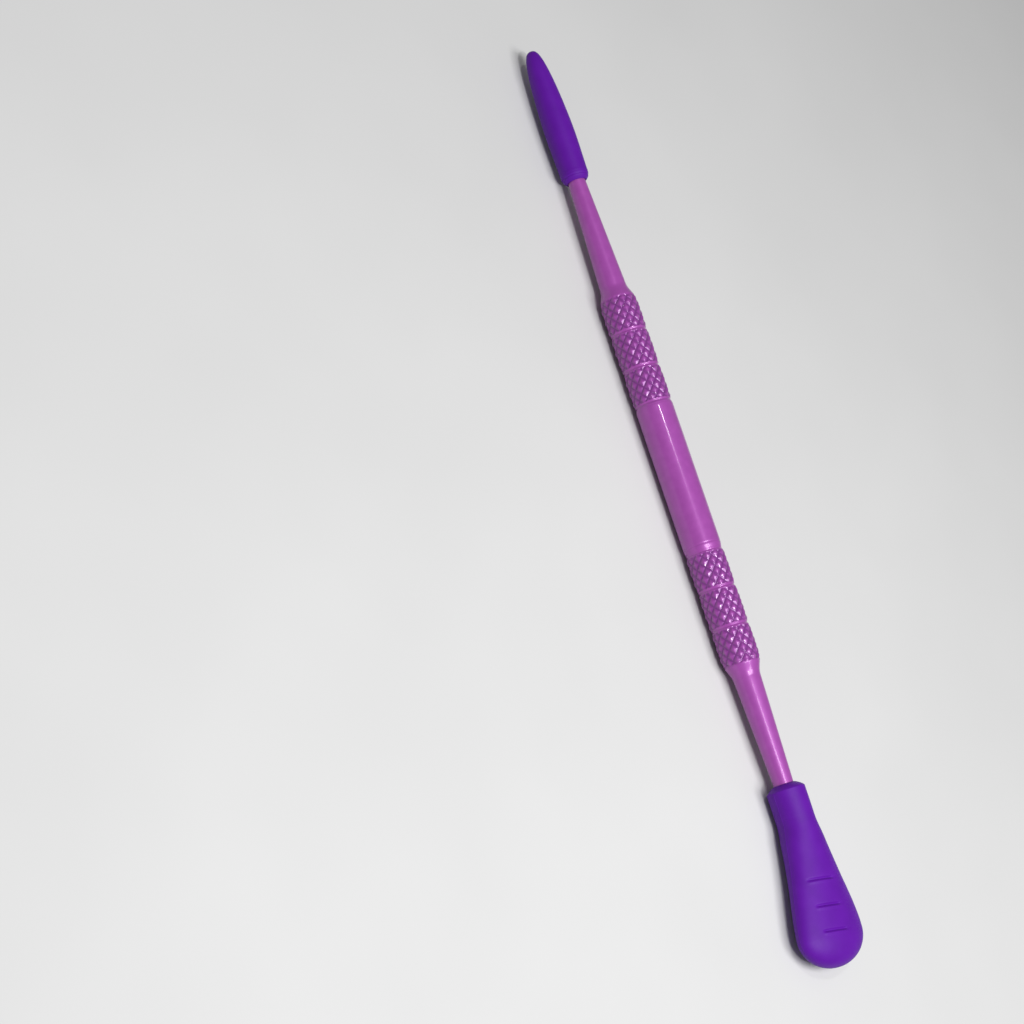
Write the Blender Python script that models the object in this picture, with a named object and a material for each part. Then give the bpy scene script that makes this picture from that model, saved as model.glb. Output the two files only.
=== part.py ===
"""Double-ended clay shaper: a knurled metal handle, a spear tip and a spatula tip pressed into its ends,
and a soft silicone cap over each tip.

The tool lies along X, paddle end towards +X, with the paddle's broad side and the knurled grips on Z = 0.
Lengths are in metres. Each piece is modelled along its own +X, away from the handle.
"""

import math

import bpy

# Driving dimensions
GRIP_DIAMETER = 0.00545
MIDDLE_DIAMETER = 0.0053
MIDDLE_LENGTH = 0.0220
BAND_LENGTHS = (0.00530, 0.00545, 0.00485)  # from the middle outwards
SHOULDER_LENGTH = 0.0024
SHOULDER_END_DIAMETER = 0.0040
SHANK_ROOT_DIAMETER = 0.0038

SPEAR_SHANK_LENGTH = 0.0164
SPEAR_SHANK_END_DIAMETER = 0.00255
SLIM_CAP_LENGTH = 0.0209
SLIM_CAP_DIAMETER = 0.00426

SPATULA_SHANK_LENGTH = 0.0149
SPATULA_SHANK_END_DIAMETER = 0.00275
PADDLE_CAP_LENGTH = 0.0246

# Details of the handle
NOTCH_LENGTH = 0.0010
NOTCH_DEPTH = 0.00017
BAND_CROWN = 0.00006
GROOVE_LENGTH = 0.0003
GROOVE_DEPTH = 0.00015
EDGE_BREAK = 0.0001
SOCKET_DEPTH = 0.0085
TANG_DIAMETER = 0.0025
TANG_LENGTH = 0.0082

# Fits
SOCKET_GAP = 0.00005
CAP_GAP = 0.00006
BLADE_GAP = 0.00015

CIRCLE_POINTS = 24

AXIS_HEIGHT = GRIP_DIAMETER / 2
HANDLE_HALF = MIDDLE_LENGTH / 2 + sum(BAND_LENGTHS) + SHOULDER_LENGTH
SLIM_REACH = HANDLE_HALF + SPEAR_SHANK_LENGTH + SLIM_CAP_LENGTH
PADDLE_REACH = HANDLE_HALF + SPATULA_SHANK_LENGTH + PADDLE_CAP_LENGTH
HANDLE_X = (SLIM_REACH - PADDLE_REACH) / 2


def smooth(low, high, share):
    """Eases from low to high as share goes from 0 to 1."""
    share = min(max(share, 0.0), 1.0)
    return low + (high - low) * share * share * (3 - 2 * share)


def spread(count):
    """The count shares from 0 to 1, ends included."""
    return [index / (count - 1) for index in range(count)]


def dome(share, fullness):
    """Height of a rounded end, 1 at its root and 0 at its very tip."""
    return (1 - share**fullness) ** (1 / fullness)


def section(x, half_y, half_z, corner):
    """A closed rounded-rectangle ring at x, flat on all four sides, or a circle where corner equals both halves."""
    per_corner = CIRCLE_POINTS // 4
    points = []
    for index in range(CIRCLE_POINTS):
        angle = math.tau * (index + 0.5) / CIRCLE_POINTS
        quarter = index // per_corner
        side_y = 1 if quarter in (0, 3) else -1
        side_z = 1 if quarter in (0, 1) else -1
        y = side_y * (half_y - corner) + corner * math.cos(angle)
        z = side_z * (half_z - corner) + corner * math.sin(angle)
        points.append((y, z))
    stretch_y = half_y / max(y for y, _ in points)
    stretch_z = half_z / max(z for _, z in points)
    return [(x, y * stretch_y, z * stretch_z) for y, z in points]


def circle(x, radius):
    return section(x, radius, radius, radius)


def oval(x, half_y, half_z):
    """An oval ring at x, with a narrow flat where it is highest and where it is lowest."""
    return [(x, y * half_y, z * half_z) for _, y, z in circle(x, 1.0)]


def loft(name, rings, material, x, facing=1):
    """A closed solid through the rings, at x along the tool's axis. facing -1 turns it towards -X."""
    count = CIRCLE_POINTS
    points = [point for ring in rings for point in ring]
    faces = [tuple(reversed(range(count)))]
    for row in range(len(rings) - 1):
        for index in range(count):
            near = row * count + index
            far = row * count + (index + 1) % count
            faces.append((near, far, far + count, near + count))
    faces.append(tuple(range(len(points) - count, len(points))))
    mesh = bpy.data.meshes.new(name)
    mesh.from_pydata(points, [], faces)
    mesh.update()
    mesh.shade_smooth()
    mesh.set_sharp_from_angle(angle=math.radians(35))
    mesh.materials.append(material)
    piece = bpy.data.objects.new(name, mesh)
    bpy.context.scene.collection.objects.link(piece)
    piece.parent = tool_axis
    piece.location.x = x
    piece.rotation_euler.z = 0 if facing > 0 else math.pi
    return piece


def finish(name, colour, roughness, metallic):
    material = bpy.data.materials.new(name)
    material.use_nodes = True
    shader = material.node_tree.nodes["Principled BSDF"]
    shader.inputs["Base Color"].default_value = (*colour, 1)
    shader.inputs["Roughness"].default_value = roughness
    shader.inputs["Metallic"].default_value = metallic
    return material


def grip_outline():
    """(x, radius) of one end of the handle, from the edge of its smooth middle to the end of its shoulder."""
    middle = MIDDLE_DIAMETER / 2
    grip = GRIP_DIAMETER / 2
    start = MIDDLE_LENGTH / 2
    outline = [(start - EDGE_BREAK, middle), (start, middle - GROOVE_DEPTH)]
    outline += [(start + GROOVE_LENGTH, middle - GROOVE_DEPTH)]
    for length in BAND_LENGTHS:
        for share in spread(5):
            x = start + NOTCH_LENGTH / 2 + share * (length - NOTCH_LENGTH)
            outline.append((x, grip - BAND_CROWN * (2 * share - 1) ** 2))
        start += length
        outline.append((start, grip - NOTCH_DEPTH))
    outline.pop()
    shoulder_start = outline[-1]
    shoulder_end = (HANDLE_HALF, SHOULDER_END_DIAMETER / 2)
    for share in spread(6)[1:]:
        x = shoulder_start[0] + share * (shoulder_end[0] - shoulder_start[0])
        outline.append((x, smooth(shoulder_start[1], shoulder_end[1], share)))
    return outline


def make_handle(paint):
    """The knurled barrel: three crowned bands at each end of a smooth middle, and a blind socket in each end."""
    half = grip_outline()
    outline = [(-x, radius) for x, radius in reversed(half)] + half
    socket = TANG_DIAMETER / 2 + SOCKET_GAP
    floor = HANDLE_HALF - SOCKET_DEPTH
    rings = [circle(-floor, socket), circle(-HANDLE_HALF, socket)]
    rings += [circle(x, radius) for x, radius in outline]
    rings += [circle(HANDLE_HALF, socket), circle(floor, socket)]
    return loft("handle", rings, paint, HANDLE_X)


def tang_and_shank(shank_length, shank_end_radius):
    """Rings of a tip from the end of its tang, inside the handle, to the mouth of its cap."""
    root = SHANK_ROOT_DIAMETER / 2
    rings = [circle(-TANG_LENGTH, TANG_DIAMETER / 2 - EDGE_BREAK)]
    rings += [circle(-TANG_LENGTH + EDGE_BREAK, TANG_DIAMETER / 2)]
    rings += [circle(SOCKET_GAP, TANG_DIAMETER / 2), circle(SOCKET_GAP, root)]
    for share in spread(4)[1:]:
        rings.append(circle(share * shank_length, root + share * (shank_end_radius - root)))
    return rings


# Spear tip: how far it reaches past the mouth of its cap, and the shape of its leaf blade
SPEAR_REACH = 0.0155
SPEAR_NECK = 0.0045
SPEAR_HALF_WIDTH = 0.00120
SPEAR_HALF_THICKNESS = 0.0005
SPEAR_POINT = 0.00008
SPEAR_FLARE_SHARE = 0.35
SPEAR_LEAF_FULLNESS = 1.6


def spear_halves(depth):
    """(half width, half thickness) of the spear at a depth past the mouth of its cap."""
    neck = SPEAR_SHANK_END_DIAMETER / 2
    flat = (depth - SPEAR_NECK) / (SPEAR_REACH - SPEAR_NECK)
    half_y = smooth(neck, SPEAR_HALF_WIDTH, flat / SPEAR_FLARE_SHARE)
    half_z = smooth(neck, SPEAR_HALF_THICKNESS, flat / SPEAR_FLARE_SHARE)
    past = (flat - SPEAR_FLARE_SHARE) / (1 - SPEAR_FLARE_SHARE)
    if past > 0:
        half_y = max(half_y * dome(min(past, 1.0), SPEAR_LEAF_FULLNESS), SPEAR_POINT)
        half_z = half_z + past * (SPEAR_POINT - half_z)
    return half_y, half_z


def make_spear_tip(paint):
    """A tapered shank that flattens into a slim leaf-shaped blade with a point."""
    rings = tang_and_shank(SPEAR_SHANK_LENGTH, SPEAR_SHANK_END_DIAMETER / 2)
    for share in spread(10)[1:]:
        depth = share * SPEAR_REACH
        half_y, half_z = spear_halves(depth)
        rings.append(section(SPEAR_SHANK_LENGTH + depth, half_y, half_z, min(half_y, half_z)))
    return loft("spear_tip", rings, paint, HANDLE_X - HANDLE_HALF, facing=-1)


# Spatula tip: the same measures as the spear's
SPATULA_REACH = 0.0212
SPATULA_NECK = 0.0040
SPATULA_FLARE = 0.0120
SPATULA_HALF_WIDTH = 0.0034
SPATULA_HALF_THICKNESS = 0.00055
SPATULA_ROUND = 0.0030
SPATULA_ROUND_FULLNESS = 2.0
SPATULA_ROUND_SHARES = (0.35, 0.65, 0.88, 1.0)  # where the round end is drawn, closer together towards the tip
SPATULA_END = 0.0006


def spatula_halves(depth):
    """(half width, half thickness) of the spatula at a depth past the mouth of its cap."""
    neck = SPATULA_SHANK_END_DIAMETER / 2
    flat = (depth - SPATULA_NECK) / SPATULA_FLARE
    half_y = smooth(neck, SPATULA_HALF_WIDTH, flat)
    half_z = smooth(neck, SPATULA_HALF_THICKNESS, flat)
    past = (depth - SPATULA_REACH + SPATULA_ROUND) / SPATULA_ROUND
    if past > 0:
        half_y = max(half_y * dome(min(past, 1.0), SPATULA_ROUND_FULLNESS), SPATULA_END)
    return half_y, half_z


def spatula_depths():
    """Depths at which the spatula is drawn: along its neck and flare, then closer together round its end."""
    straight = SPATULA_REACH - SPATULA_ROUND
    depths = [share * straight for share in spread(8)[1:]]
    return depths + [straight + share * SPATULA_ROUND for share in SPATULA_ROUND_SHARES]


def make_spatula_tip(paint):
    """A tapered shank that flares into a flat, round-ended spatula."""
    rings = tang_and_shank(SPATULA_SHANK_LENGTH, SPATULA_SHANK_END_DIAMETER / 2)
    for depth in spatula_depths():
        half_y, half_z = spatula_halves(depth)
        rings.append(section(SPATULA_SHANK_LENGTH + depth, half_y, half_z, min(half_y, half_z)))
    return loft("spatula_tip", rings, paint, HANDLE_X + HANDLE_HALF)


def rounded_mouth(radius, length, drop):
    """Rings of a cap's rounded mouth edge: length along the cap, and drop in radius."""
    rings = []
    for share in spread(4):
        turn = share * math.pi / 2
        rings.append(circle(length * (1 - math.cos(turn)), radius - drop * (1 - math.sin(turn))))
    return rings


# Slim cap: its nose is a blunt point, and its bore ends in a cone
SLIM_NOSE_LENGTH = 0.0135
SLIM_MOUTH_DIAMETER = 0.0040
SLIM_LIP = 0.0013
SLIM_LIP_DROP = 0.45
SLIM_BORE_DEPTH = 0.0162
SLIM_BORE_END_SHARE = 0.3
NOSE_TIP_RADIUS = 0.0004
NOSE_RUN = 1.5
NOSE_BLUNTNESS = 0.28


def slim_radius(depth):
    """Outer radius of the slim cap at a distance from its mouth."""
    full = SLIM_CAP_DIAMETER / 2
    nose_start = SLIM_CAP_LENGTH - SLIM_NOSE_LENGTH
    if depth < nose_start:
        return smooth(SLIM_MOUTH_DIAMETER / 2, full, depth / nose_start)
    left = (SLIM_CAP_LENGTH - depth) / SLIM_NOSE_LENGTH
    return max(full * (1 - (1 - left) ** NOSE_RUN) ** NOSE_BLUNTNESS, NOSE_TIP_RADIUS)


def make_slim_cap(silicone):
    """A bullet-shaped sleeve with a round bore that takes the spear tip."""
    bore = SPEAR_SHANK_END_DIAMETER / 2 + CAP_GAP
    rings = [circle(SLIM_BORE_DEPTH, bore * SLIM_BORE_END_SHARE)]
    rings += [circle(SLIM_BORE_DEPTH - bore, bore), circle(0, bore)]
    rings += rounded_mouth(SLIM_MOUTH_DIAMETER / 2, SLIM_LIP, SLIM_LIP * SLIM_LIP_DROP)
    for share in spread(12)[1:]:
        # The rings crowd together towards the tip, where the nose turns in fastest.
        depth = SLIM_LIP + (SLIM_CAP_LENGTH - SLIM_LIP) * (1 - (1 - share) ** 2)
        rings.append(circle(depth, slim_radius(depth)))
    x = HANDLE_X - HANDLE_HALF - SPEAR_SHANK_LENGTH
    return loft("slim_cap", rings, silicone, x, facing=-1)


# Paddle cap: a round neck that widens into an oval paddle of the same thickness
PADDLE_WIDTHS = (  # (distance from the mouth, full width), up to the widest place
    (0.0045, 0.00545),
    (0.0072, 0.00618),
    (0.0092, 0.00712),
    (0.0111, 0.00802),
    (0.0131, 0.00902),
    (0.0151, 0.01012),
    (0.0171, 0.01112),
    (0.0186, 0.01180),
    (0.0203, 0.01210),
)
PADDLE_LIP = 0.0010
PADDLE_OUTLINE_FULLNESS = 2.05
PADDLE_EDGE_FULLNESS = 2.15
PADDLE_TIP_SHARE = 0.12


def along(points, x):
    """Height at x of the smooth curve through the points, level at both of its ends."""
    slopes = [0.0]
    for (x0, y0), (x2, y2) in zip(points, points[2:]):
        slopes.append((y2 - y0) / (x2 - x0))
    slopes.append(0.0)
    for (x0, y0), (x1, y1), slope0, slope1 in zip(points, points[1:], slopes, slopes[1:]):
        if x <= x1:
            share = min(max((x - x0) / (x1 - x0), 0.0), 1.0)
            bend = (1 - share) * slope0 * (x1 - x0) - share * slope1 * (x1 - x0)
            return smooth(y0, y1, share) + share * (1 - share) * bend
    return points[-1][1]


def paddle_section(depth):
    """Ring of the paddle cap's outside at a distance from its mouth."""
    half_y = along(PADDLE_WIDTHS, depth) / 2
    half_z = GRIP_DIAMETER / 2
    widest = PADDLE_WIDTHS[-1][0]
    past = (depth - widest) / (PADDLE_CAP_LENGTH - widest)
    if past > 0:
        half_y *= max(dome(past, PADDLE_OUTLINE_FULLNESS), PADDLE_TIP_SHARE)
        half_z *= max(dome(past, PADDLE_EDGE_FULLNESS), PADDLE_TIP_SHARE)
    return oval(depth, half_y, half_z)


def make_paddle_cap(silicone):
    """A sleeve with a round mouth and a broad oval end, hollow where the spatula tip fits."""
    mouth = GRIP_DIAMETER / 2
    bore = SPATULA_SHANK_END_DIAMETER / 2 + CAP_GAP
    end = SPATULA_REACH + BLADE_GAP
    rings = [section(end, SPATULA_END + BLADE_GAP, SPATULA_HALF_THICKNESS + BLADE_GAP, SPATULA_END)]
    for depth in reversed(spatula_depths()):
        half_y, half_z = spatula_halves(depth)
        gap = smooth(CAP_GAP, BLADE_GAP, depth / SPATULA_NECK)
        half_y, half_z = half_y + gap, half_z + gap
        rings.append(section(depth, half_y, half_z, min(half_y, half_z)))
    rings += [circle(0, bore)] + rounded_mouth(mouth, PADDLE_LIP, PADDLE_LIP)
    neck, widest = PADDLE_WIDTHS[0][0], PADDLE_WIDTHS[-1][0]
    for share in spread(10):
        rings.append(paddle_section(neck + share * (widest - neck)))
    for share in spread(8)[1:]:
        # The rings crowd together towards the end, where the outline turns in fastest.
        rings.append(paddle_section(widest + (PADDLE_CAP_LENGTH - widest) * (1 - (1 - share) ** 2)))
    x = HANDLE_X + HANDLE_HALF + SPATULA_SHANK_LENGTH
    return loft("paddle_cap", rings, silicone, x)


for old in list(bpy.data.objects):
    bpy.data.objects.remove(old, do_unlink=True)

tool_axis = bpy.data.objects.new("tool_axis", None)
tool_axis.location.z = AXIS_HEIGHT
bpy.context.scene.collection.objects.link(tool_axis)

orchid_paint = finish("orchid_paint", (0.30, 0.06, 0.37), 0.3, 0.4)
violet_silicone = finish("violet_silicone", (0.14, 0.02, 0.40), 0.55, 0.0)

make_handle(orchid_paint)
make_spear_tip(orchid_paint)
make_spatula_tip(orchid_paint)
make_slim_cap(violet_silicone)
make_paddle_cap(violet_silicone)
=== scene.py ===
"""Looks of the double-ended clay shaper: a painted, knurled metal handle with two tips, and two soft caps.

The tool lies along X on the floor at Z = 0, paddle end towards +X. Lengths are in metres. The tips and caps
are built along +X, outwards from where they start, and those of the -X end are then turned round.
"""

import math

import bpy
import numpy as np
from mathutils import Matrix, Vector


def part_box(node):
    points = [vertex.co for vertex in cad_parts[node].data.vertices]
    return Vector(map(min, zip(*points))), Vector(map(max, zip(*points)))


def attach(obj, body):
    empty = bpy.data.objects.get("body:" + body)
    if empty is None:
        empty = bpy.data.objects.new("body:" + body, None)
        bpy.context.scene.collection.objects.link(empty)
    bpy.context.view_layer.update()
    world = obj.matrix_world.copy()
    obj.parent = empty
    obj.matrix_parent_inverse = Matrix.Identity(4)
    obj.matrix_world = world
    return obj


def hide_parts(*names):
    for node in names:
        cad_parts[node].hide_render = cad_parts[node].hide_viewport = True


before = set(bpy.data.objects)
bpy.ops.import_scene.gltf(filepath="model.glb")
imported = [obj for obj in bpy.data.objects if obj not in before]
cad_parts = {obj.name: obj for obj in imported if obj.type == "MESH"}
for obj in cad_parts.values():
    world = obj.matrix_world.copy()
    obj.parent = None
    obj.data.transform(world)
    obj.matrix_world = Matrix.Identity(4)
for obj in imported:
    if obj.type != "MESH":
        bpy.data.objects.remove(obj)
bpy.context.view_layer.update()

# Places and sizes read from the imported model
handle_low, handle_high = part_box("handle")
slim_low, slim_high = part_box("slim_cap")
paddle_low, paddle_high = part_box("paddle_cap")
AXIS_HEIGHT = (handle_low.z + handle_high.z) / 2
HANDLE_X = (handle_low.x + handle_high.x) / 2
HANDLE_HALF = (handle_high.x - handle_low.x) / 2
GRIP_RADIUS = (handle_high.z - handle_low.z) / 2
SPEAR_SHANK_LENGTH = handle_low.x - slim_high.x
SPATULA_SHANK_LENGTH = paddle_low.x - handle_high.x
SLIM_CAP_LENGTH = slim_high.x - slim_low.x
SLIM_CAP_RADIUS = (slim_high.z - slim_low.z) / 2
PADDLE_CAP_LENGTH = paddle_high.x - paddle_low.x
PADDLE_HALF_WIDTH = (paddle_high.y - paddle_low.y) / 2

# The handle's turned outline
MIDDLE_RADIUS = 0.00265
MIDDLE_ENDS = {-1: 0.0106, 1: 0.0100}  # the smooth middle, towards -X and towards +X
LINE_LENGTH = 0.00012
LINE_DEPTH = 0.00004
BANDS_START = 0.0110
BAND_LENGTHS = (0.00530, 0.00545, 0.00485)
NOTCH_HALF_LENGTH = 0.00042
NOTCH_DEPTH = 0.00020
BAND_CROWN = 0.00006
GROOVE_DEPTH = 0.00015
SHOULDER_START = 0.0261
SHANK_ROOT_RADIUS = 0.0019

# Knurl: crossed spiral grooves
KNURL_STARTS = 12
DIAMOND_LENGTH = 0.00156
KNURL_DEPTH = 0.00022
KNURL_NOTCH_GAP = 0.00030
KNURL_END = 0.0271
KNURL_RUNOUT = 0.00022
STEPS_PER_DIAMOND = 24
MIDDLE_RINGS = 40
SHOULDER_RINGS = 30

# Each end turns in just where the shank comes out of it, so that the two run into each other smoothly
END_STEP = 0.00001
END_DROP = 0.00004
END_BACK = 0.0005  # how far inside the handle its innermost ring is
END_SHARE = 0.9  # and its size, as a share of the shank's root


def smooth(low, high, share):
    """Eases from low to high as share goes from 0 to 1."""
    share = np.clip(share, 0.0, 1.0)
    return low + (high - low) * share * share * (3 - 2 * share)


def dome(share, fullness):
    """Height of a rounded end, 1 at its root and 0 at its very tip."""
    return (1 - np.clip(share, 0.0, 1.0) ** fullness) ** (1 / fullness)


def bell(distance, half_width=1.0):
    """A soft bump that is 1 in its middle and falls off to both sides."""
    return np.exp(-((distance / half_width) ** 2))


def along(points, x):
    """Height at x of the smooth curve through the points, level at both of its ends."""
    slopes = [0.0]
    for (x0, y0), (x2, y2) in zip(points, points[2:]):
        slopes.append((y2 - y0) / (x2 - x0))
    slopes.append(0.0)
    for (x0, y0), (x1, y1), slope0, slope1 in zip(points, points[1:], slopes, slopes[1:]):
        if x <= x1:
            share = min(max((x - x0) / (x1 - x0), 0.0), 1.0)
            bend = (1 - share) * slope0 * (x1 - x0) - share * slope1 * (x1 - x0)
            return smooth(y0, y1, share) + share * (1 - share) * bend
    return points[-1][1]


def add_object(name, data):
    thing = bpy.data.objects.new(name, data)
    bpy.context.scene.collection.objects.link(thing)
    return thing


def skin(name, rings, material, x, facing, body, nodes):
    """A closed surface through rings of points, put at x on the tool's axis, facing +X (1) or -X (-1).

    It rides on a body and takes the place of the CAD nodes.
    """
    rings = np.asarray(rings, float)
    rows, columns = rings.shape[:2]
    points = rings.reshape(-1, 3) * (facing, facing, 1) + (x, 0, AXIS_HEIGHT)
    index = np.arange(rows * columns).reshape(rows, columns)
    near, far = index[:-1], index[1:]
    quads = np.stack([near, np.roll(near, -1, 1), np.roll(far, -1, 1), far], axis=-1)
    faces = quads.reshape(-1, 4).tolist()
    faces.append(index[0][::-1].tolist())
    faces.append(index[-1].tolist())
    mesh = bpy.data.meshes.new(name)
    mesh.from_pydata(points.tolist(), [], faces)
    mesh.update()
    mesh.shade_smooth()
    mesh.set_sharp_from_angle(angle=math.radians(50))
    mesh.materials.append(material)
    piece = add_object(name, mesh)
    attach(piece, body)
    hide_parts(*nodes)
    return piece


def turns(count):
    """Angles of evenly spread points round a ring."""
    return np.arange(count) * (math.tau / count)


def circle_rings(outline, turn):
    """Round rings for an outline of (x, radius) points."""
    outline = np.asarray(outline, float)
    x = np.repeat(outline[:, :1], len(turn), axis=1)
    radius = outline[:, 1:]
    return np.stack([x, radius * np.cos(turn), radius * np.sin(turn)], axis=-1)


def oval_ring(x, half_y, half_z, squareness, turn):
    """A ring at x that is an ellipse at squareness 2 and nears a rectangle as squareness grows."""
    reach = (np.abs(np.cos(turn)) / half_y) ** squareness + (np.abs(np.sin(turn)) / half_z) ** squareness
    reach = reach ** (-1 / squareness)
    return np.stack([np.full(len(turn), x), reach * np.cos(turn), reach * np.sin(turn)], axis=-1)


# ---------------------------------------------------------------- materials


def new_material(name):
    material = bpy.data.materials.new(name)
    material.use_nodes = True
    nodes, links = material.node_tree.nodes, material.node_tree.links
    return material, nodes, links, nodes["Principled BSDF"]


def set_inputs(node, values):
    for name, value in values.items():
        node.inputs[name].default_value = value


def noise(nodes, links, coordinates, scale, detail, roughness=0.5):
    node = nodes.new("ShaderNodeTexNoise")
    set_inputs(node, {"Scale": scale, "Detail": detail, "Roughness": roughness})
    links.new(coordinates, node.inputs["Vector"])
    return node.outputs["Fac"]


def ramp(nodes, links, value, stops):
    """A colour ramp with (place, linear colour) stops."""
    node = nodes.new("ShaderNodeValToRGB")
    elements = node.color_ramp.elements
    while len(elements) < len(stops):
        elements.new(0.5)
    for element, (place, colour) in zip(elements, stops):
        element.position = place
        element.color = (*colour, 1)
    links.new(value, node.inputs["Fac"])
    return node.outputs["Color"]


def bump(nodes, links, height, distance, strength, after=None):
    node = nodes.new("ShaderNodeBump")
    set_inputs(node, {"Distance": distance, "Strength": strength})
    links.new(height, node.inputs["Height"])
    if after is not None:
        links.new(after, node.inputs["Normal"])
    return node.outputs["Normal"]


def spread_range(nodes, links, value, low, high):
    """Spreads a value between 0 and 1 over a range."""
    node = nodes.new("ShaderNodeMapRange")
    set_inputs(node, {"To Min": low, "To Max": high})
    links.new(value, node.inputs["Value"])
    return node.outputs["Result"]


def orchid_paint():
    """Glossy purple paint: faint orange peel, and a painted shade that darkens the knurl's grooves."""
    material, nodes, links, shader = new_material("orchid_paint")
    place = nodes.new("ShaderNodeTexCoord").outputs["Object"]
    hollow = nodes.new("ShaderNodeAttribute")
    hollow.attribute_name = "hollow"
    cloud = noise(nodes, links, place, scale=900, detail=2)
    colour = ramp(nodes, links, cloud, [(0.3, (0.300, 0.056, 0.320)), (0.7, (0.330, 0.064, 0.350))])
    # Painted shade: a darker purple is mixed in where the knurl's grooves are deep, following the hollow
    # attribute
    groove_shade = nodes.new("ShaderNodeMix")
    groove_shade.data_type = "RGBA"
    groove_shade.inputs["B"].default_value = (0.165, 0.026, 0.200, 1)
    links.new(hollow.outputs["Fac"], groove_shade.inputs["Factor"])
    links.new(colour, groove_shade.inputs["A"])
    links.new(groove_shade.outputs["Result"], shader.inputs["Base Color"])
    grain = noise(nodes, links, place, scale=5200, detail=2)
    links.new(spread_range(nodes, links, grain, 0.32, 0.44), shader.inputs["Roughness"])
    peel = noise(nodes, links, place, scale=2600, detail=1)
    links.new(bump(nodes, links, peel, distance=0.000004, strength=0.5), shader.inputs["Normal"])
    set_inputs(shader, {"Metallic": 0.15, "Specular IOR Level": 0.3})
    set_inputs(shader, {"Coat Weight": 0.65, "Coat Roughness": 0.1, "Coat IOR": 1.4})
    return material


def violet_silicone():
    """Satin moulded silicone: a fine dry grain, soft waves, and a slightly cloudy shade."""
    material, nodes, links, shader = new_material("violet_silicone")
    place = nodes.new("ShaderNodeTexCoord").outputs["Object"]
    cloud = noise(nodes, links, place, scale=420, detail=3)
    colour = ramp(nodes, links, cloud, [(0.3, (0.086, 0.0022, 0.265)), (0.7, (0.098, 0.0034, 0.295))])
    links.new(colour, shader.inputs["Base Color"])
    grain = noise(nodes, links, place, scale=3500, detail=3, roughness=0.6)
    links.new(spread_range(nodes, links, grain, 0.48, 0.62), shader.inputs["Roughness"])
    waves = noise(nodes, links, place, scale=700, detail=1)
    normal = bump(nodes, links, waves, distance=0.00003, strength=0.35)
    normal = bump(nodes, links, grain, distance=0.000006, strength=0.5, after=normal)
    links.new(normal, shader.inputs["Normal"])
    set_inputs(shader, {"Specular IOR Level": 0.2})
    set_inputs(shader, {"Sheen Weight": 0.02, "Sheen Roughness": 0.5, "Sheen Tint": (0.6, 0.45, 1.0, 1)})
    return material


def floor_material():
    material, nodes, links, shader = new_material("pale_floor")
    place = nodes.new("ShaderNodeTexCoord").outputs["Object"]
    grain = noise(nodes, links, place, scale=30, detail=2)
    colour = ramp(nodes, links, grain, [(0.3, (0.55, 0.55, 0.55)), (0.7, (0.57, 0.57, 0.57))])
    links.new(colour, shader.inputs["Base Color"])
    set_inputs(shader, {"Roughness": 0.9, "Specular IOR Level": 0.1})
    return material


# ---------------------------------------------------------------- the knurled handle


def handle_radius(x):
    """Turned radius at a distance x from the middle, and how much of the knurl is cut there, from 0 to 1."""
    middle_end = MIDDLE_ENDS[1 if x > 0 else -1]
    x = abs(x)
    line = LINE_DEPTH * bell(x - middle_end, LINE_LENGTH)
    if x < BANDS_START:
        slope = (x - middle_end) / (BANDS_START - middle_end)
        return MIDDLE_RADIUS - line - smooth(0, GROOVE_DEPTH, slope), 0.0
    if x > SHOULDER_START:
        share = (x - SHOULDER_START) / (HANDLE_HALF - SHOULDER_START)
        shoulder = smooth(GRIP_RADIUS - BAND_CROWN, SHANK_ROOT_RADIUS, share)
        return shoulder, smooth(0, 1, (KNURL_END - x) / (2 * KNURL_RUNOUT))
    start = BANDS_START
    for length in BAND_LENGTHS:
        if x <= start + length:
            break
        start += length
    gap = x - start
    if length != BAND_LENGTHS[-1]:  # the last band runs out into the shoulder, without a notch
        gap = min(gap, start + length - x)
    crown = BAND_CROWN * (2 * (x - start) / length - 1) ** 2
    valley = NOTCH_DEPTH * smooth(1, 0, gap / NOTCH_HALF_LENGTH)
    return GRIP_RADIUS - crown - valley, smooth(0, 1, (gap - KNURL_NOTCH_GAP) / KNURL_RUNOUT + 0.5)


def handle_rows():
    """(x, radius, knurl share) from end to end of the handle, close together where it is knurled."""
    fine = DIAMOND_LENGTH / STEPS_PER_DIAMOND
    knurled = np.arange(min(MIDDLE_ENDS.values()) - 4 * LINE_LENGTH, KNURL_END, fine)
    half = [*knurled, *np.linspace(KNURL_END, HANDLE_HALF, SHOULDER_RINGS)]
    middle = list(np.linspace(-half[0], half[0], MIDDLE_RINGS)[1:-1])
    places = [-x for x in reversed(half)] + middle + half
    return [(x, *handle_radius(x)) for x in places]


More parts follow.
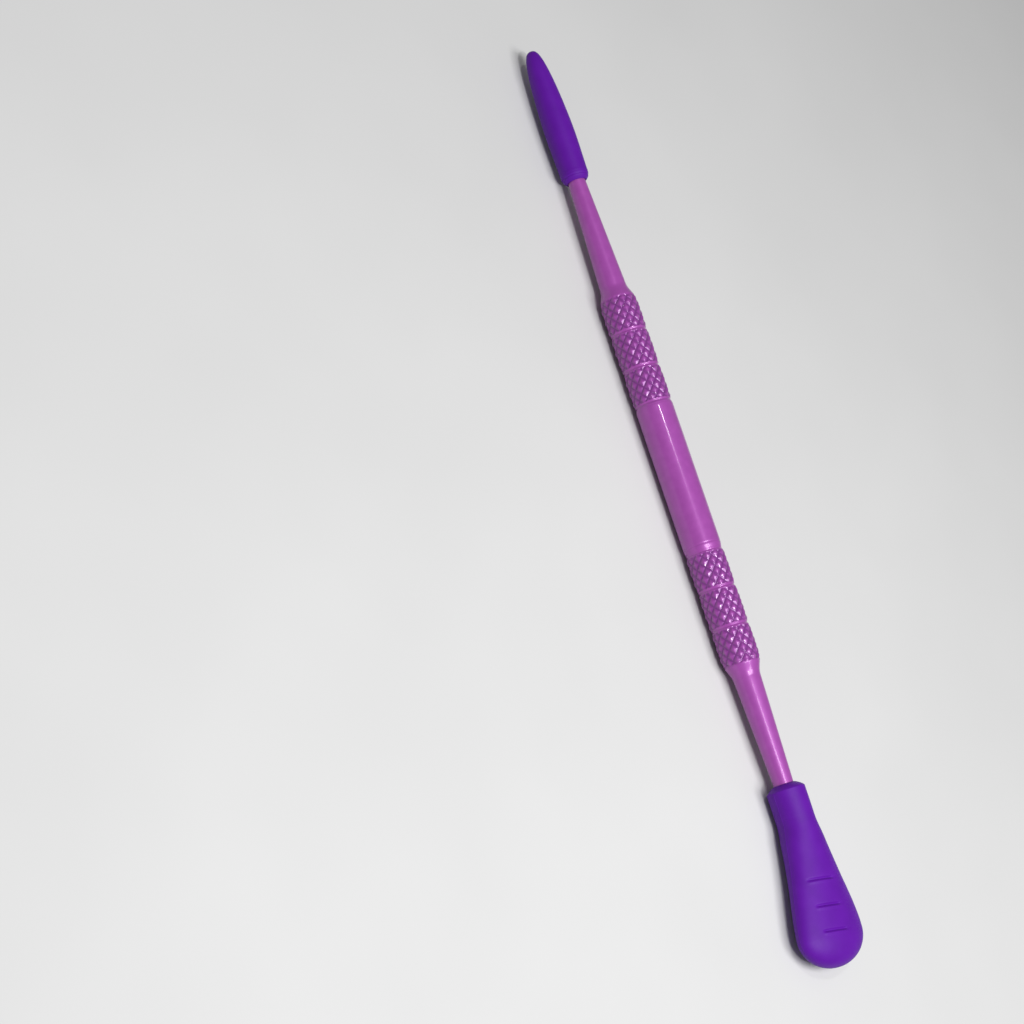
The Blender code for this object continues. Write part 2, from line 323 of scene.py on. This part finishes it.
def make_handle(material):
    x, radius, cut = np.array(handle_rows()).T[:, :, None]
    count = KNURL_STARTS * STEPS_PER_DIAMOND
    turn = turns(count)[None, :]
    around = turn * (KNURL_STARTS / math.tau)
    lengthwise = x / DIAMOND_LENGTH
    # 0 along the bottom of the grooves and 1 on the diamonds' crests
    relief = np.minimum(*(np.abs((around + way * lengthwise) % 1.0 - 0.5) * 2 for way in (1, -1)))
    relief = relief * (3 - relief) / 2  # steeper at the bottom and flatter on the crest
    hollow = cut * (1 - relief)
    radius = radius - KNURL_DEPTH * hollow
    rings = np.stack([x + 0 * turn, radius * np.cos(turn), radius * np.sin(turn)], axis=-1)
    lips = [
        (HANDLE_HALF + END_STEP, SHANK_ROOT_RADIUS - END_DROP),
        (HANDLE_HALF - END_BACK, SHANK_ROOT_RADIUS * END_SHARE),
    ]
    right = circle_rings(lips, turn[0])
    left = right[::-1] * (-1, 1, 1)
    rings = np.concatenate([left, rings, right])
    piece = skin("knurled_handle", rings, material, HANDLE_X, 1, "tool", ["handle"])
    # The groove depth share is kept on the mesh, and the paint uses it for the painted shade in the grooves
    shade = piece.data.attributes.new("hollow", "FLOAT", "POINT")
    values = np.zeros(len(piece.data.vertices), np.float32)
    first = len(lips) * count
    values[first : first + hollow.size] = hollow.reshape(-1)
    shade.data.foreach_set("value", values)
    return piece


# ---------------------------------------------------------------- the metal tips

TIP_TURNS = turns(96)
ELLIPSE = 2.0  # squareness of a plain oval
LEAST_HALF = 0.00003  # half the size of the smallest ring at a piece's very tip
SHANK_ROOT_DEPTH = 0.0004  # how far inside the handle a shank starts
SHANK_ROOT_SHARE = 0.8
SHANK_RINGS = 30

SPEAR_NECK_RADIUS = 0.001275
SPEAR_REACH = 0.0155
SPEAR_NECK = 0.0045
SPEAR_HALF_WIDTH = 0.00120
SPEAR_HALF_THICKNESS = 0.0005
SPEAR_FLARE_SHARE = 0.35
SPEAR_FULLNESS = 1.6
SPEAR_THINNING = 0.9
SPEAR_RINGS = 90

SPATULA_NECK_RADIUS = 0.001375
SPATULA_REACH = 0.0212
SPATULA_NECK = 0.0040
SPATULA_FLARE = 0.0120
SPATULA_HALF_WIDTH = 0.0034
SPATULA_HALF_THICKNESS = 0.00055
SPATULA_ROUND = 0.0030
SPATULA_OUTLINE_FULLNESS = 2.0
SPATULA_EDGE_FULLNESS = 4.0
SPATULA_SQUARENESS = 3.2
SPATULA_LEAST_HALF = 0.00006
SPATULA_RINGS = 80
SPATULA_ROUND_RINGS = 30


def shank_rings(length, end_radius):
    """The tapered shank, from just inside the handle to the mouth of its cap."""
    outline = [(-SHANK_ROOT_DEPTH, SHANK_ROOT_RADIUS * share) for share in (SHANK_ROOT_SHARE, 1)]
    for share in np.linspace(0, 1, SHANK_RINGS)[1:]:
        outline.append((share * length, SHANK_ROOT_RADIUS + share * (end_radius - SHANK_ROOT_RADIUS)))
    return list(circle_rings(outline, TIP_TURNS))


def make_spear_tip(material):
    """The shank flattens into a slim leaf with a sharp point and a soft edge."""
    rings = shank_rings(SPEAR_SHANK_LENGTH, SPEAR_NECK_RADIUS)
    for share in np.linspace(0, 1, SPEAR_RINGS)[1:]:
        depth = share * SPEAR_REACH
        flat = (depth - SPEAR_NECK) / (SPEAR_REACH - SPEAR_NECK)
        half_y = smooth(SPEAR_NECK_RADIUS, SPEAR_HALF_WIDTH, flat / SPEAR_FLARE_SHARE)
        half_z = smooth(SPEAR_NECK_RADIUS, SPEAR_HALF_THICKNESS, flat / SPEAR_FLARE_SHARE)
        past = max((flat - SPEAR_FLARE_SHARE) / (1 - SPEAR_FLARE_SHARE), 0.0)
        half_y = max(half_y * dome(past, SPEAR_FULLNESS), LEAST_HALF)
        half_z = max(half_z * (1 - SPEAR_THINNING * past), LEAST_HALF)
        rings.append(oval_ring(SPEAR_SHANK_LENGTH + depth, half_y, half_z, ELLIPSE, TIP_TURNS))
    x = HANDLE_X - HANDLE_HALF
    return skin("spear_blade_and_shank", rings, material, x, -1, "tool", ["spear_tip"])


def spatula_section(depth, neck_radius, gap):
    """Half width, half thickness and squareness of the spatula, or of a hollow with a gap round it."""
    flat = (depth - SPATULA_NECK) / SPATULA_FLARE
    half_y = smooth(neck_radius, SPATULA_HALF_WIDTH + gap, flat)
    half_z = smooth(neck_radius, SPATULA_HALF_THICKNESS + gap, flat)
    return half_y, half_z, smooth(ELLIPSE, SPATULA_SQUARENESS, flat)


def make_spatula_tip(material):
    """The shank flares into a flat round-ended spatula with soft edges."""
    rings = shank_rings(SPATULA_SHANK_LENGTH, SPATULA_NECK_RADIUS)
    straight = SPATULA_REACH - SPATULA_ROUND
    depths = list(np.linspace(0, straight, SPATULA_RINGS)[1:])
    for angle in np.linspace(0, math.pi / 2, SPATULA_ROUND_RINGS)[1:]:
        depths.append(straight + SPATULA_ROUND * math.sin(angle))
    for depth in depths:
        half_y, half_z, squareness = spatula_section(depth, SPATULA_NECK_RADIUS, 0)
        past = max((depth - straight) / SPATULA_ROUND, 0.0)
        half_y = max(half_y * dome(past, SPATULA_OUTLINE_FULLNESS), SPATULA_LEAST_HALF)
        half_z = max(half_z * dome(past, SPATULA_EDGE_FULLNESS), SPATULA_LEAST_HALF)
        rings.append(oval_ring(SPATULA_SHANK_LENGTH + depth, half_y, half_z, squareness, TIP_TURNS))
    x = HANDLE_X + HANDLE_HALF
    return skin("spatula_blade_and_shank", rings, material, x, 1, "tool", ["spatula_tip"])


# ---------------------------------------------------------------- the silicone caps

CAP_TURNS = turns(192)
CAP_GAP = 0.00003
BLADE_GAP = 0.00012
MOUTH_RINGS = 40
SLIM_NOSE_LENGTH = 0.0135
SLIM_NOSE_TAPER = 1.5
SLIM_NOSE_BLUNTNESS = 0.31
SLIM_MOUTH_RADIUS = 0.0020
SLIM_LIP = 0.00068
SLIM_LIP_DROP = 0.00060
SLIM_LIP_FULLNESS = 1.12
SLIM_EDGE_LENGTH = 0.0014  # past the lip the rings are close together, for the crease and the swelling
SLIM_RING_STEP = 0.00003
SLIM_RINGS = 150
SLIM_CROWDING = 1.8  # how much closer the rings get towards the tip
CREASE_DEPTH = 0.00012
CREASE_HALF_WIDTH = 0.00011
SWELLING_HEIGHT = 0.00002  # a faint ring behind the crease
SWELLING_PLACE = 0.00130
SWELLING_HALF_WIDTH = 0.00018
SLIM_LEAN = 0.00025  # sideways at its tip, towards -Y
SLIM_BORE_DEPTH = 0.0162
SLIM_BORE_START = 0.0001
SLIM_BORE_END_SHARE = 0.1
SLIM_BORE_END_ANGLES = (0.5, 0.9, 1.2, 1.4)
SLIM_BORE_END_GAP = 0.00002

PADDLE_WIDTHS = (  # (distance from the mouth, share of the full width), up to the widest place
    (0.0045, 0.433),
    (0.0057, 0.448),
    (0.0076, 0.538),
    (0.0096, 0.608),
    (0.0115, 0.684),
    (0.0135, 0.765),
    (0.0154, 0.853),
    (0.0173, 0.932),
    (0.0192, 0.988),
    (0.0203, 1.000),
)
PADDLE_NECK_RADIUS = 0.00264
PADDLE_HALF_THICKNESS = 0.0026  # where it is broad
PADDLE_OUTLINE_FULLNESS = 2.0
PADDLE_EDGE_FULLNESS = 2.15
PADDLE_LIP = 0.00085
PADDLE_LIP_FULLNESS = 1.25
PADDLE_LEAN = 0.00104  # sideways where it is widest, towards -Y: the soft cap sits a little crooked
PADDLE_RING_STEP = 0.00006
PADDLE_END_RINGS = 110
PADDLE_RIM = 0.00004  # thickness of the wall at the very mouth
PADDLE_BORE_START = 0.0003
PADDLE_BORE_LEAST = (0.02, 0.1)  # least width and thickness at its end, as shares
PADDLE_BORE_RINGS = 70

# Where the two halves of the mould met: a thin raised line along both sides
SEAM_HEIGHT = 0.00004
SEAM_HALF_WIDTH = 0.00004
SEAM_FADE = 1.2  # above 1, it ends before the cap does
SEAM_TURNS = np.array((0.0, 0.002, 0.004, 0.007, 0.010, 0.014, 0.019, 0.025))
seam_sides = [side + way * SEAM_TURNS for side in (0, math.pi) for way in (1, -1)]
PADDLE_TURNS = np.unique(np.round(np.concatenate([CAP_TURNS, *seam_sides]) % math.tau, 6))

# Slanting creases across the paddle's upper face, each with a faint swelling behind it
MARKS = (0.01327, 0.01672, 0.0200)  # distance from the mouth
MARK_SLANT = 0.13
MARK_SPAN = (-0.0036, 0.0003)  # from side to side, clearly seen
MARK_EASE = 0.0006  # how soon it grows clear, and faint again
MARK_FAINT = 0.3
MARK_FADE = 0.0018  # how far it goes on faintly towards +Y
MARK_DEPTH = 0.00021
MARK_HALF_WIDTH = 0.00017
MARK_SWELLING = 0.45  # height of the swelling, as a share of the mark's depth
MARK_SWELLING_PLACE = 2.2  # in half widths past the mark
RIPPLE_HEIGHT = 0.000014  # the uneven skin just past each mark
RIPPLE_START = 2  # in half widths past the mark
RIPPLE_LENGTH = 0.0013
RIPPLE_WAVE = 0.00042
RIPPLE_SWAYS = ((0.3, 0.00009), (0.35, 0.00021))  # how far the rows stray, in waves, and how soon
PIP_PLACE = (0.0133, 0.0021)  # a tiny raised spot near the end of the first mark
PIP_HEIGHT = 0.00006
PIP_RADIUS = 0.00011


def slim_radius(depth):
    """Outside radius of the slim cap at a distance from its mouth."""
    if depth < SLIM_CAP_LENGTH - SLIM_NOSE_LENGTH:
        return smooth(SLIM_MOUTH_RADIUS, SLIM_CAP_RADIUS, depth / (SLIM_CAP_LENGTH - SLIM_NOSE_LENGTH))
    left = (SLIM_CAP_LENGTH - depth) / SLIM_NOSE_LENGTH
    return max(SLIM_CAP_RADIUS * (1 - (1 - left) ** SLIM_NOSE_TAPER) ** SLIM_NOSE_BLUNTNESS, LEAST_HALF)


def mouth_outline(radius, length, drop, fullness):
    """The chamfered edge of a cap's mouth, from the mouth inwards."""
    outline = []
    for share in np.linspace(0, 1, MOUTH_RINGS):
        outline.append((length * share, radius - drop * (1 - dome(1 - share, fullness))))
    return outline


def make_slim_cap(material):
    bore = SPEAR_NECK_RADIUS + CAP_GAP
    outline = [(SLIM_BORE_DEPTH, bore * SLIM_BORE_END_SHARE)]
    for angle in SLIM_BORE_END_ANGLES:
        radius = bore * (1 - math.cos(angle)) + SLIM_BORE_END_GAP
        outline.append((SLIM_BORE_DEPTH - bore * math.sin(angle), radius))
    outline += [(SLIM_BORE_DEPTH - bore, bore), (SLIM_BORE_START, bore)]
    edge = mouth_outline(slim_radius(SLIM_LIP), SLIM_LIP, SLIM_LIP_DROP, SLIM_LIP_FULLNESS)
    for depth in np.arange(SLIM_LIP, SLIM_LIP + SLIM_EDGE_LENGTH, SLIM_RING_STEP)[1:]:
        edge.append((depth, slim_radius(depth)))
    for depth, radius in edge:
        crease = CREASE_DEPTH * bell(depth - SLIM_LIP, CREASE_HALF_WIDTH)
        swelling = SWELLING_HEIGHT * bell(depth - SWELLING_PLACE, SWELLING_HALF_WIDTH)
        outline.append((depth, radius - crease + swelling))
    start = outline[-1][0]
    for share in np.linspace(0, 1, SLIM_RINGS)[1:]:
        depth = start + (SLIM_CAP_LENGTH - start) * (1 - (1 - share) ** SLIM_CROWDING)
        outline.append((depth, slim_radius(depth)))
    x = HANDLE_X - HANDLE_HALF - SPEAR_SHANK_LENGTH
    rings = circle_rings(outline, CAP_TURNS)
    rings[:, :, 1] += SLIM_LEAN * (rings[:, :, 0] / SLIM_CAP_LENGTH) ** 2
    return skin("slim_silicone_cap", rings, material, x, -1, "slim_cap", ["slim_cap"])


def mark_relief(depth, y):
    """How far the marks lower the paddle's face at a distance from its mouth, for each place y across it."""
    start, end = MARK_SPAN
    strength = smooth(0, 1, (y - start) / MARK_EASE) * smooth(1, MARK_FAINT, (y - end) / MARK_EASE)
    strength = strength * smooth(1, 0, (y - end) / MARK_FADE)
    (sway, sway_length), (cross_sway, cross_length) = RIPPLE_SWAYS
    wave = np.sin(math.tau * (y / RIPPLE_WAVE + sway * math.sin(depth / sway_length)))
    wave = wave * np.sin(math.tau * (depth / RIPPLE_WAVE + cross_sway * np.sin(y / cross_length)))
    relief = 0
    for place in MARKS:
        past = (depth - place - MARK_SLANT * y) / MARK_HALF_WIDTH
        relief = relief + bell(past) - MARK_SWELLING * bell(past - MARK_SWELLING_PLACE)
        grown = smooth(0, 1, (past - RIPPLE_START) / RIPPLE_START)
        window = grown * smooth(1, 0, past * MARK_HALF_WIDTH / RIPPLE_LENGTH)
        relief = relief + RIPPLE_HEIGHT / MARK_DEPTH * window * wave
    pip = ((depth - PIP_PLACE[0]) ** 2 + (y - PIP_PLACE[1]) ** 2) / PIP_RADIUS**2
    return MARK_DEPTH * strength * relief - PIP_HEIGHT * np.exp(-pip)


def paddle_ring(depth):
    """Outside of the paddle cap at a distance from its mouth."""
    neck, widest = PADDLE_WIDTHS[0][0], PADDLE_WIDTHS[-1][0]
    half_y = PADDLE_NECK_RADIUS if depth < neck else along(PADDLE_WIDTHS, depth) * PADDLE_HALF_WIDTH
    half_z = smooth(PADDLE_NECK_RADIUS, PADDLE_HALF_THICKNESS, (depth - neck) / (widest - neck))
    past = (depth - widest) / (PADDLE_CAP_LENGTH - widest)
    if past > 0:
        half_y = max(half_y * dome(past, PADDLE_OUTLINE_FULLNESS), LEAST_HALF)
        half_z = max(half_z * dome(past, PADDLE_EDGE_FULLNESS), LEAST_HALF)
    ring = oval_ring(depth, half_y, half_z, ELLIPSE, PADDLE_TURNS)
    y, z = ring[:, 1].copy(), ring[:, 2].copy()
    seam = SEAM_HEIGHT * bell(z, SEAM_HALF_WIDTH) * smooth(1, 0, SEAM_FADE * past)
    ring[:, 1] += np.sign(y) * seam - PADDLE_LEAN * (min(depth, widest) / widest) ** 2
    ring[:, 2] -= np.where(z > 0, mark_relief(depth, y) * np.clip(z / half_z, 0, 1), 0)
    return ring


def make_paddle_cap(material):
    bore = SPATULA_NECK_RADIUS + CAP_GAP
    least_width, least_thickness = PADDLE_BORE_LEAST
    rings = []
    for depth in np.linspace(SPATULA_REACH + BLADE_GAP, PADDLE_BORE_START, PADDLE_BORE_RINGS):
        half_y, half_z, squareness = spatula_section(depth, bore, BLADE_GAP)
        past = max((depth - SPATULA_REACH - BLADE_GAP + SPATULA_ROUND) / SPATULA_ROUND, 0.0)
        half_y = half_y * max(dome(past, SPATULA_OUTLINE_FULLNESS), least_width)
        half_z = half_z * max(dome(past, SPATULA_EDGE_FULLNESS), least_thickness)
        rings.append(oval_ring(depth, half_y, half_z, squareness, PADDLE_TURNS))
    drop = PADDLE_NECK_RADIUS - bore - PADDLE_RIM
    mouth = mouth_outline(PADDLE_NECK_RADIUS, PADDLE_LIP, drop, PADDLE_LIP_FULLNESS)
    rings += list(circle_rings(mouth, PADDLE_TURNS))
    widest = PADDLE_WIDTHS[-1][0]
    depths = list(np.arange(PADDLE_LIP, widest, PADDLE_RING_STEP)[1:])
    for angle in np.linspace(0, math.pi / 2, PADDLE_END_RINGS):
        depths.append(widest + (PADDLE_CAP_LENGTH - widest) * math.sin(angle))
    rings += [paddle_ring(depth) for depth in depths]
    x = HANDLE_X + HANDLE_HALF + SPATULA_SHANK_LENGTH
    return skin("paddle_silicone_cap", rings, material, x, 1, "paddle_cap", ["paddle_cap"])


# ---------------------------------------------------------------- camera, floor and light

CAMERA_DISTANCE = 0.2846
CAMERA_LENS = 72.8
CAMERA_PITCH = math.radians(12)  # how far the camera leans towards the paddle end
CAMERA_ROLL = math.radians(45)  # how far it leans round the tool, towards -Y
PICTURE_TILT = math.radians(17.97)
RIGHT_OF_CENTRE = 0.02325
ABOVE_CENTRE = 0.00355
FLOOR_HALF_SIZE = 3.0
ROOM_BRIGHTNESS = 0.24

# name: (direction, distance, size, power)
LIGHTS = {
    "key": ((0.35, -0.15, 0.93), 0.32, (0.24, 0.12), 1.0),
    "spark": ((0.42, -0.36, 0.86), 0.7, (0.045, 0.045), 1.1),
    "glint": ((-0.25, -0.30, 0.9), 0.7, (0.03, 0.03), 0.5),
}


def make_camera():
    """Looks down from the -Y side, with the slim end up in the picture and the tool right of its centre."""
    upright = Matrix(((0, -1, 0), (1, 0, 0), (0, 0, 1)))
    turn = Matrix.Rotation(CAMERA_ROLL, 3, "X") @ upright @ Matrix.Rotation(CAMERA_PITCH, 3, "X")
    turn = turn @ Matrix.Rotation(-PICTURE_TILT, 3, "Z")
    right, up, back = turn.col[0], turn.col[1], turn.col[2]
    middle = Vector((0, 0, AXIS_HEIGHT))
    camera = add_object("camera", bpy.data.cameras.new("camera"))
    camera.data.lens = CAMERA_LENS
    camera.data.sensor_width = 36
    camera.data.clip_start = 0.01
    place = middle + back * CAMERA_DISTANCE - right * RIGHT_OF_CENTRE - up * ABOVE_CENTRE
    camera.matrix_world = Matrix.Translation(place) @ turn.to_4x4()
    bpy.context.scene.camera = camera


def make_light(name, direction, distance, size, power):
    """A rectangular area light that faces the middle of the tool."""
    data = bpy.data.lights.new(name, "AREA")
    data.shape = "RECTANGLE"
    data.size, data.size_y = size
    data.energy = power
    light = add_object(name, data)
    way = Vector(direction).normalized()
    light.location = way * distance
    light.rotation_euler = way.to_track_quat("Z", "Y").to_euler()


def make_floor():
    mesh = bpy.data.meshes.new("floor")
    corners = [(x * FLOOR_HALF_SIZE, y * FLOOR_HALF_SIZE, 0) for x, y in ((-1, -1), (1, -1), (1, 1), (-1, 1))]
    mesh.from_pydata(corners, [], [(0, 1, 2, 3)])
    mesh.materials.append(floor_material())
    floor = add_object("floor", mesh)


def make_world():
    world = bpy.data.worlds.new("soft_room")
    world.use_nodes = True
    set_inputs(world.node_tree.nodes["Background"], {"Color": (1, 1, 1, 1), "Strength": ROOM_BRIGHTNESS})
    bpy.context.scene.world = world


paint = orchid_paint()
silicone = violet_silicone()
handle = make_handle(paint)
spear = make_spear_tip(paint)
spatula = make_spatula_tip(paint)
slim_cap = make_slim_cap(silicone)
paddle_cap = make_paddle_cap(silicone)

make_camera()
make_floor()
make_world()
for name, (direction, distance, size, power) in LIGHTS.items():
    make_light(name, direction, distance, size, power)
bpy.context.scene.view_settings.view_transform = "Standard"
